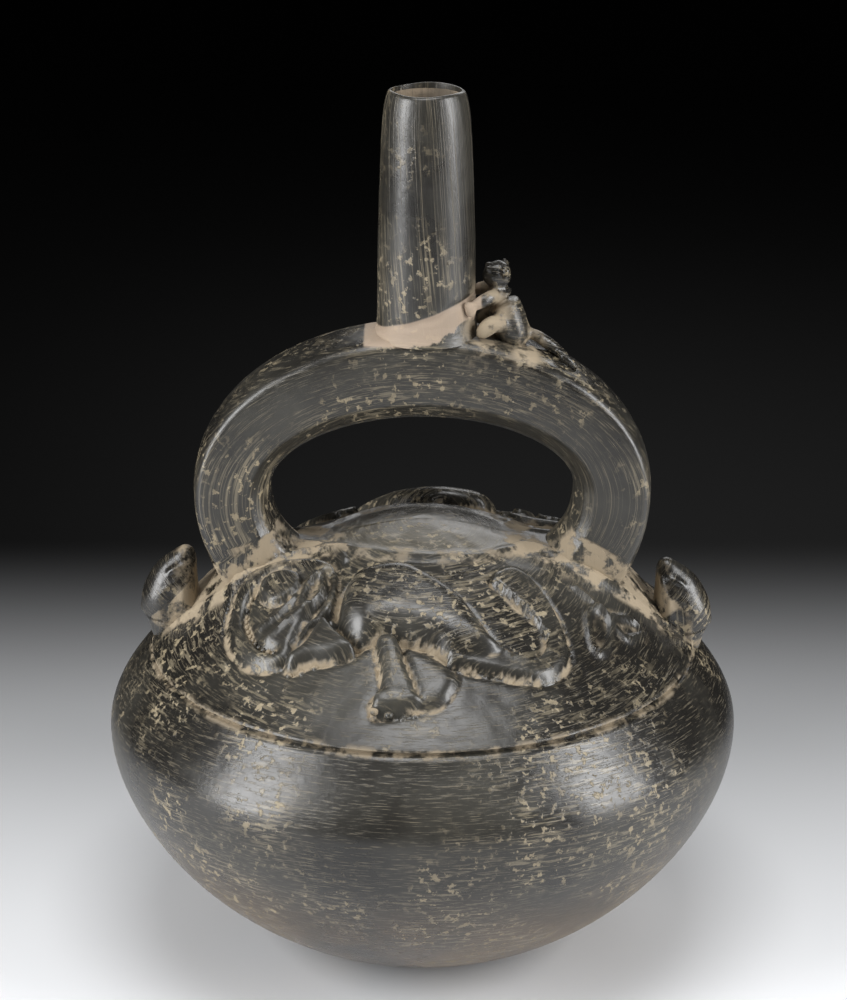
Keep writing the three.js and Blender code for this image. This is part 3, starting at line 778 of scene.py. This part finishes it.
# Faces of the hollow and the bores get the unburnished clay
innerSet = {tuple(p) for p in hollowPoints.round(2).tolist()}
vesselSolid.data.materials.clear()
vesselSolid.data.materials.append(blackware)
vesselSolid.data.materials.append(innerClay)
coordinates = np.empty(3 * len(vesselSolid.data.vertices))
vesselSolid.data.vertices.foreach_get("co", coordinates)
coordinates = (coordinates.reshape(-1, 3) / mm).round(2).tolist()
isInner = [tuple(p) in innerSet for p in coordinates]
for face in vesselSolid.data.polygons:
    inner = sum(isInner[k] for k in face.vertices) * 2 >= len(face.vertices)
    face.material_index = 1 if inner else 0
vesselSolid.data.shade_smooth()
vesselSolid.data.set_sharp_from_angle(angle=math.radians(50))


def shaderGroup(name, inputs, outputs):
    tree = bpy.data.node_groups.new(name, "ShaderNodeTree")
    for label, kind, value in inputs:
        socket = tree.interface.new_socket(label, in_out="INPUT", socket_type=kind)
        if value is not None:
            socket.default_value = value
    for label, kind in outputs:
        tree.interface.new_socket(label, in_out="OUTPUT", socket_type=kind)
    tree.nodes.new("NodeGroupInput").name = "Start"
    tree.nodes.new("NodeGroupOutput").name = "End"
    return tree


# Noise drawn out along the burnishing strokes: Across makes it fine over the strokes
def strokeGroup():
    number = "NodeSocketFloat"
    inputs = [("Fine", number, 2000.0), ("Long", number, 120.0), ("Low", number, 0.5), ("High", number, 0.6)]
    tree = shaderGroup("strokeMask", inputs, [("Mask", number), ("Noise", number)])
    start, end, link = tree.nodes["Start"], tree.nodes["End"], tree.links.new
    place = addNode(tree, "ShaderNodeTexCoord")
    across = addNode(tree, "ShaderNodeAttribute", attribute_name="across")
    apart = addNode(tree, "ShaderNodeSeparateXYZ")
    scaled = addNode(tree, "ShaderNodeVectorMath", operation="SCALE")
    fine = addNode(tree, "ShaderNodeMath", operation="MULTIPLY")
    together = addNode(tree, "ShaderNodeCombineXYZ")
    addYZ = addNode(tree, "ShaderNodeMath", operation="ADD")
    shifted = addNode(tree, "ShaderNodeMath", operation="ADD")
    noise = addNode(tree, "ShaderNodeTexNoise")
    noise.inputs["Scale"].default_value = 1
    noise.inputs["Detail"].default_value = 5
    noise.inputs["Roughness"].default_value = 0.62
    spread = addNode(tree, "ShaderNodeMapRange", interpolation_type="SMOOTHSTEP")
    link(place.outputs["Object"], scaled.inputs[0])
    link(start.outputs["Long"], scaled.inputs["Scale"])
    link(scaled.outputs["Vector"], apart.inputs["Vector"])
    link(across.outputs["Fac"], fine.inputs[0])
    link(start.outputs["Fine"], fine.inputs[1])
    link(apart.outputs["Y"], addYZ.inputs[0])
    link(apart.outputs["Z"], addYZ.inputs[1])
    link(fine.outputs["Value"], shifted.inputs[0])
    link(addYZ.outputs["Value"], shifted.inputs[1])
    link(apart.outputs["X"], together.inputs["X"])
    link(apart.outputs["Y"], together.inputs["Y"])
    link(shifted.outputs["Value"], together.inputs["Z"])
    link(together.outputs["Vector"], noise.inputs["Vector"])
    link(noise.outputs["Fac"], spread.inputs["Value"])
    link(start.outputs["Low"], spread.inputs["From Min"])
    link(start.outputs["High"], spread.inputs["From Max"])
    link(spread.outputs["Result"], end.inputs["Mask"])
    link(noise.outputs["Fac"], end.inputs["Noise"])
    return tree


# Even noise with a threshold, for specks, haze and grit
def speckGroup():
    number = "NodeSocketFloat"
    inputs = [("Scale", number, 400.0), ("Low", number, 0.55), ("High", number, 0.62)]
    tree = shaderGroup("speckMask", inputs, [("Mask", number), ("Noise", number)])
    start, end, link = tree.nodes["Start"], tree.nodes["End"], tree.links.new
    place = addNode(tree, "ShaderNodeTexCoord")
    noise = addNode(tree, "ShaderNodeTexNoise")
    noise.inputs["Detail"].default_value = 6
    noise.inputs["Roughness"].default_value = 0.6
    spread = addNode(tree, "ShaderNodeMapRange", interpolation_type="SMOOTHSTEP")
    link(place.outputs["Object"], noise.inputs["Vector"])
    link(start.outputs["Scale"], noise.inputs["Scale"])
    link(noise.outputs["Fac"], spread.inputs["Value"])
    link(start.outputs["Low"], spread.inputs["From Min"])
    link(start.outputs["High"], spread.inputs["From Max"])
    link(spread.outputs["Result"], end.inputs["Mask"])
    link(noise.outputs["Fac"], end.inputs["Noise"])
    return tree


strokes, specks = strokeGroup(), speckGroup()


# Small helper that adds nodes to one material and returns their output sockets
class Mixer:
    def __init__(self, material):
        material.use_nodes = True
        self.tree = material.node_tree
        self.shader = self.tree.nodes["Principled BSDF"]

    def feed(self, socket, value):
        if isinstance(value, bpy.types.NodeSocket):
            self.tree.links.new(value, socket)
        else:
            socket.default_value = value

    def group(self, tree, **values):
        node = self.tree.nodes.new("ShaderNodeGroup")
        node.node_tree = tree
        for key, value in values.items():
            self.feed(node.inputs[key], value)
        return node.outputs["Mask"]

    def attribute(self, name):
        node = self.tree.nodes.new("ShaderNodeAttribute")
        node.attribute_name = name
        return node.outputs["Fac"]

    def math(self, operation, a, b=0.0):
        node = self.tree.nodes.new("ShaderNodeMath")
        node.operation = operation
        node.use_clamp = operation in ("ADD", "MULTIPLY_ADD")
        self.feed(node.inputs[0], a)
        self.feed(node.inputs[1], b)
        return node.outputs["Value"]

    def spread(self, value, low, high, toLow=0.0, toHigh=1.0):
        node = self.tree.nodes.new("ShaderNodeMapRange")
        node.interpolation_type = "SMOOTHSTEP"
        for label, given in (("Value", value), ("From Min", low), ("From Max", high), ("To Min", toLow),
                             ("To Max", toHigh)):
            self.feed(node.inputs[label], given)
        return node.outputs["Result"]

    def mix(self, share, a, b):
        node = self.tree.nodes.new("ShaderNodeMix")
        node.data_type = "RGBA"
        self.feed(node.inputs["Factor"], share)
        for socket, value in ((node.inputs[6], a), (node.inputs[7], b)):
            self.feed(socket, (*value, 1.0) if isinstance(value, tuple) else value)
        return node.outputs[2]

    def place(self):
        node = self.tree.nodes.new("ShaderNodeTexCoord")
        apart = self.tree.nodes.new("ShaderNodeSeparateXYZ")
        self.tree.links.new(node.outputs["Object"], apart.inputs["Vector"])
        return apart.outputs

    def relief(self, height, strength, distance, normal=None):
        node = self.tree.nodes.new("ShaderNodeBump")
        node.inputs["Strength"].default_value = strength
        node.inputs["Distance"].default_value = distance
        self.feed(node.inputs["Height"], height)
        if normal:
            self.feed(node.inputs["Normal"], normal)
        return node.outputs["Normal"]


finish = {
    "black": (0.013, 0.012, 0.0105),
    "grey": (0.06, 0.057, 0.047),
    "stroke": (0.23, 0.195, 0.135),
    "speck": (0.36, 0.295, 0.19),
    "deposit": (0.33, 0.265, 0.18),
    "brownBase": (0.16, 0.105, 0.062),
    "repair": (0.40, 0.31, 0.23),
    "gloss": 0.26,
}


def makeBlackware(material):
    m = Mixer(material)
    x, y, z = m.place()
    dome, dust, cap, worn = (m.attribute(name) for name in ("domeShare", "deposit", "cap", "worn"))
    haze = m.group(specks, Scale=22.0, Low=0.42, High=0.68)
    colour = m.mix(m.math("MULTIPLY", haze, 0.55), finish["black"], finish["grey"])
    colour = m.mix(m.math("MULTIPLY", cap, 0.35), colour, (0.14, 0.125, 0.095))
    low = m.spread(z, 0.052, 0.004)
    patch = m.math("MULTIPLY", low, m.group(specks, Scale=30.0, Low=0.3, High=0.62))
    colour = m.mix(m.math("MULTIPLY", patch, 0.85), colour, finish["brownBase"])
    scratches = m.group(strokes, Fine=1.3, Long=150.0, Low=0.53, High=0.6)
    fineLines = m.group(strokes, Fine=3.6, Long=210.0, Low=0.53, High=0.68)
    region = m.group(specks, Scale=34.0, Low=0.44, High=0.62)
    colour = m.mix(m.math("MULTIPLY", m.math("MULTIPLY", scratches, region), 0.62), colour, finish["stroke"])
    colour = m.mix(m.math("MULTIPLY", fineLines, 0.42), colour, finish["stroke"])
    spots = m.math("MULTIPLY", m.group(specks, Scale=520.0, Low=0.56, High=0.62), region)
    colour = m.mix(m.math("MULTIPLY", spots, 0.75), colour, finish["speck"])
    colour = m.mix(m.math("MULTIPLY", worn, 0.25), colour, finish["grey"])
    grit = m.group(specks, Scale=190.0, Low=0.38, High=0.6)
    dusty = m.spread(m.math("MULTIPLY", dust, m.math("ADD", m.math("MULTIPLY", grit, 0.85), 0.15)), 0.12, 0.6)
    colour = m.mix(m.math("MULTIPLY", dusty, 0.88), colour, finish["deposit"])
    # Fill along the glued break of the spout, with a ragged lower edge
    level = m.math("SUBTRACT", z, m.math("ADD", m.math("MULTIPLY", x, spout["breakSlope"]),
                                         spout["breakHeight"] * mm))
    ragged = m.group(specks, Scale=160.0, Low=0.3, High=0.7)
    lower = m.math("ADD", m.math("SUBTRACT", level, -0.0052), m.math("MULTIPLY", ragged, 0.0022))
    lower = m.spread(lower, 0.0, 0.0006)
    upper = m.spread(level, 0.0006, 0.0)
    band = m.math("MULTIPLY", lower, upper)
    band = m.math("MULTIPLY", band, m.spread(m.math("ABSOLUTE", x), 0.0145, 0.0138))
    band = m.math("MULTIPLY", band, m.spread(z, 0.1575, 0.1582))
    colour = m.mix(m.math("MULTIPLY", band, 0.8), colour, finish["repair"])
    dull = m.math("ADD", m.math("MULTIPLY", dusty, 0.8), m.math("MULTIPLY", spots, 0.4))
    dull = m.math("ADD", dull, m.math("MULTIPLY", band, 0.6))
    dull = m.math("ADD", dull, m.math("MULTIPLY", fineLines, 0.2))
    rough = m.spread(dull, 0.0, 1.0, finish["gloss"], 0.85)
    m.feed(m.shader.inputs["Base Color"], colour)
    m.feed(m.shader.inputs["Roughness"], m.math("ADD", rough, m.math("MULTIPLY", haze, 0.1)))
    m.shader.inputs["Specular IOR Level"].default_value = 0.6
    lines = m.relief(fineLines, 0.25, 0.0001)
    pits = m.relief(m.math("ADD", spots, dusty), 0.35, 0.0002, lines)
    unevenness = m.group(specks, Scale=60.0, Low=0.2, High=0.8)
    m.feed(m.shader.inputs["Normal"], m.relief(unevenness, 0.2, 0.0006, pits))


def makeInnerClay(material):
    m = Mixer(material)
    stain = m.group(specks, Scale=90.0, Low=0.4, High=0.6)
    lines = m.group(strokes, Fine=2.0, Long=60.0, Low=0.5, High=0.65)
    colour = m.mix(stain, (0.30, 0.235, 0.165), (0.17, 0.14, 0.105))
    m.feed(m.shader.inputs["Base Color"], m.mix(m.math("MULTIPLY", lines, 0.3), colour, finish["grey"]))
    m.feed(m.shader.inputs["Roughness"], m.spread(stain, 0.0, 1.0, 0.8, 0.95))
    m.feed(m.shader.inputs["Normal"], m.relief(stain, 0.4, 0.0004))


makeBlackware(blackware)
makeInnerClay(innerClay)
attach(vesselSolid, "root")
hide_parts("vessel")
print("materials made")

studio = {
    "floorSize": 12,
    "pale": (0.80, 0.81, 0.83),
    # the floor colour is painted from pale to black between these two depths: a painted falloff of the light,
    # painted shade behind the object
    "paintedPoolUntil": -0.08,
    "paintedShadeFrom": 0.27,
    "world": 0.0015,
    "lights": [  # name, place, width, height, watts
        ("leftBox", (-0.62, -0.32, 0.36), 0.30, 0.60, 6.5),
        ("rightBox", (0.66, -0.26, 0.36), 0.30, 0.60, 6),
        ("topBox", (0.0, -0.15, 0.95), 0.50, 0.40, 4.5),
        ("backBox", (0.15, 0.75, 0.55), 0.60, 0.30, 1.6),
    ],
    "aim": (0, 0, 0.09),
    "camera": (0, -0.6008, 0.3385),
    "tilt": 69.59,
    "lens": 92.4,
}


def makeFloor():
    half = studio["floorSize"] / 2 / mm
    corners = [(-half, -half, 0), (half, -half, 0), (half, half, 0), (-half, half, 0)]
    floor = meshObject("floor", corners, [(0, 1, 2, 3)])
    material = bpy.data.materials.new("paleFloorPaintedFalloff")
    m = Mixer(material)
    # Painted shade: the floor colour fades from pale near the object to black behind it, standing in for the
    # falloff of the light
    paintedFalloff = m.spread(m.place()["Y"], studio["paintedPoolUntil"], studio["paintedShadeFrom"])
    m.feed(m.shader.inputs["Base Color"], m.mix(paintedFalloff, studio["pale"], (0.0, 0.0, 0.0)))
    m.shader.inputs["Roughness"].default_value = 0.6
    m.shader.inputs["Specular IOR Level"].default_value = 0.1
    floor.data.materials.append(material)


def makeLight(name, place, width, height, watts):
    lamp = bpy.data.lights.new(name, "AREA")
    lamp.shape = "RECTANGLE"
    lamp.size, lamp.size_y, lamp.energy = width, height, watts
    light = bpy.data.objects.new(name, lamp)
    light.location = place
    light.rotation_euler = (Vector(studio["aim"]) - Vector(place)).to_track_quat("-Z", "Y").to_euler()
    bpy.context.scene.collection.objects.link(light)


makeFloor()
for row in studio["lights"]:
    makeLight(*row)

world = bpy.data.worlds.new("darkStudio")
world.use_nodes = True
world.node_tree.nodes["Background"].inputs["Color"].default_value = (1, 1, 1, 1)
world.node_tree.nodes["Background"].inputs["Strength"].default_value = studio["world"]
bpy.context.scene.world = world
bpy.context.scene.view_settings.view_transform = "Standard"

lens = bpy.data.cameras.new("camera")
lens.sensor_fit = "VERTICAL"
lens.sensor_height = 36
lens.lens = studio["lens"]
lens.shift_x = 0.0011
camera = bpy.data.objects.new("camera", lens)
camera.location = studio["camera"]
camera.rotation_euler = (math.radians(studio["tilt"]), 0, 0)
bpy.context.scene.collection.objects.link(camera)
bpy.context.scene.camera = camera
print("studio ready")
